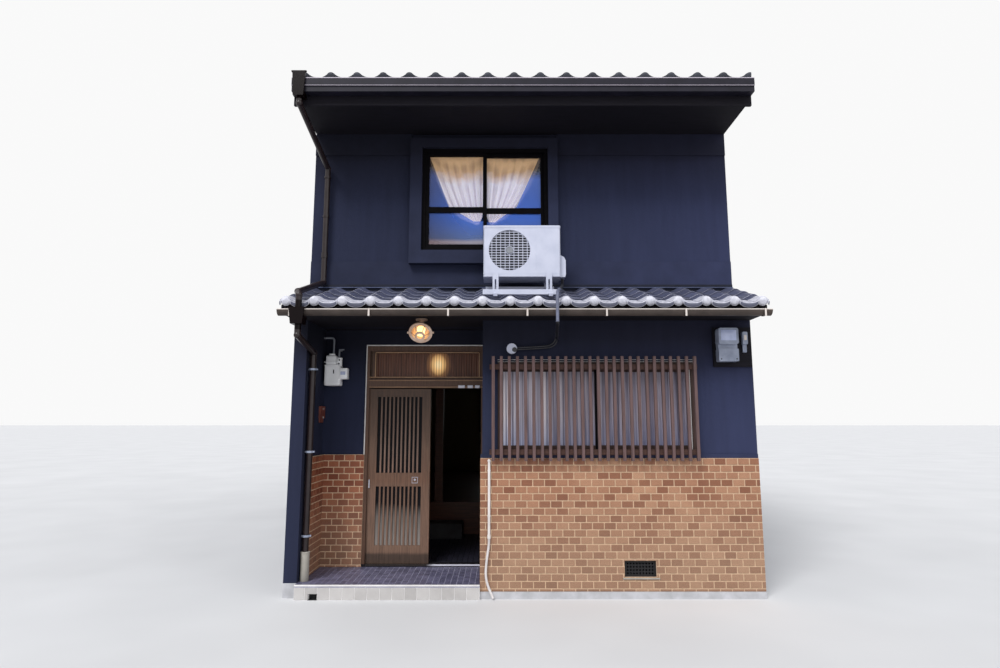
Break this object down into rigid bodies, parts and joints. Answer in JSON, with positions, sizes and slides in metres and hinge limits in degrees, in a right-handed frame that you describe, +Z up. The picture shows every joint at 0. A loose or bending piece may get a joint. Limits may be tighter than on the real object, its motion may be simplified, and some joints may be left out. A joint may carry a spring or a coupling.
{
  "type": "machiya townhouse",
  "caption": "Two-storey terraced townhouse with a brick-clad bay, latticed window, sliding entrance doors in an alcove, tiled lower roof and tiled gable roof.",
  "frame": {"origin": "middle of the house's plan, on the underside of the foundation at ground level", "axes": "+Z up, +X along the street to the right as seen from the street, -Y towards the street"},
  "size_m": [4.62, 9.503, 7.2018],
  "materials": {
    "concrete": "plain cast concrete",
    "step_tile": "matt beige-grey tiles",
    "floor_tile": "dark blue-grey floor tiles",
    "floor_timber": "oiled red-brown boards",
    "wall_render": "charcoal navy render",
    "brick": "tan brick tiles in running bond",
    "bronze_frame": "dark bronze anodised",
    "clear_glass": "clear float glass",
    "frosted_glass": "figured obscure glass",
    "curtain": "cream curtain cloth",
    "lattice_timber": "red-brown stained bars",
    "door_timber": "bronze-brown stained timber",
    "dark_timber": "dark weathered timber",
    "roof_tile": "silver-grey smoked tile",
    "gutter": "brown-purple rainwater plastic",
    "downpipe": "dark red-brown plastic",
    "white_metal": "white enamelled sheet steel",
    "line_cover": "grey-white plastic",
    "lamp_brass": "aged brass",
    "lamp_glass": "warm lit glass",
    "meter_grey": "grey instrument housing",
    "vent_iron": "black cast iron"
  },
  "bodies": {
    "house": {"foundation": "concrete", "entrance_step": "step_tile", "tile_floors": "floor_tile", "step_stone": "concrete", "raised_floor": "floor_timber", "inner_post": "floor_timber", "upper_floor": "floor_timber", "left_party_wall": "wall_render", "right_party_wall": "wall_render", "bay_front_wall": "wall_render", "bay_side_wall": "wall_render", "entrance_wall_side": "wall_render", "entrance_wall_over": "wall_render", "upper_front_wall": "wall_render", "rear_wall": "wall_render", "bay_brickwork": "brick", "alcove_brickwork": "brick", "wall_trim": "wall_render", "window_surround": "wall_render", "upper_window_frame": "bronze_frame", "upper_window_glass": "clear_glass", "curtain_left": "curtain", "curtain_right": "curtain", "bay_window_frame": "bronze_frame", "bay_window_glass": "frosted_glass", "bay_lattice": "lattice_timber", "rear_window_frames": "bronze_frame", "rear_window_glass": "clear_glass", "entrance_frame": "door_timber", "transom_glass": "frosted_glass", "pent_roof_frame": "dark_timber", "pent_roof_tiles": "roof_tile", "main_roof_deck_front": "dark_timber", "main_roof_deck_rear": "dark_timber", "main_roof_tiles_front": "roof_tile", "main_roof_tiles_rear": "roof_tile", "roof_ridge": "roof_tile", "main_eaves": "dark_timber", "pent_gutter": "gutter", "main_gutters": "gutter", "lower_downpipe": "downpipe", "upper_downpipe": "downpipe", "ac_unit": "white_metal", "ac_stand": "white_metal", "ac_line_set": "line_cover", "drain_pipe": "line_cover", "drain_hose": "line_cover", "porch_lamp": "lamp_brass", "lamp_globe": "lamp_glass", "meter_board": "dark_timber", "electric_meter": "meter_grey", "gas_meter": "white_metal", "intercom": "downpipe", "vent_grille": "vent_iron"},
    "outer_leaf": {"door_leaf_outer": "door_timber", "door_glass_outer": "frosted_glass"},
    "inner_leaf": {"door_leaf_inner": "door_timber", "door_glass_inner": "frosted_glass"}
  },
  "joints": [
    {"name": "outer_leaf_slide", "type": "slide", "parent": "house", "child": "outer_leaf", "axis": [1, 0, 0], "range_m": [0, 0.555]},
    {"name": "inner_leaf_slide", "type": "slide", "parent": "house", "child": "inner_leaf", "axis": [1, 0, 0], "range_m": [0, 0.555]}
  ]
}
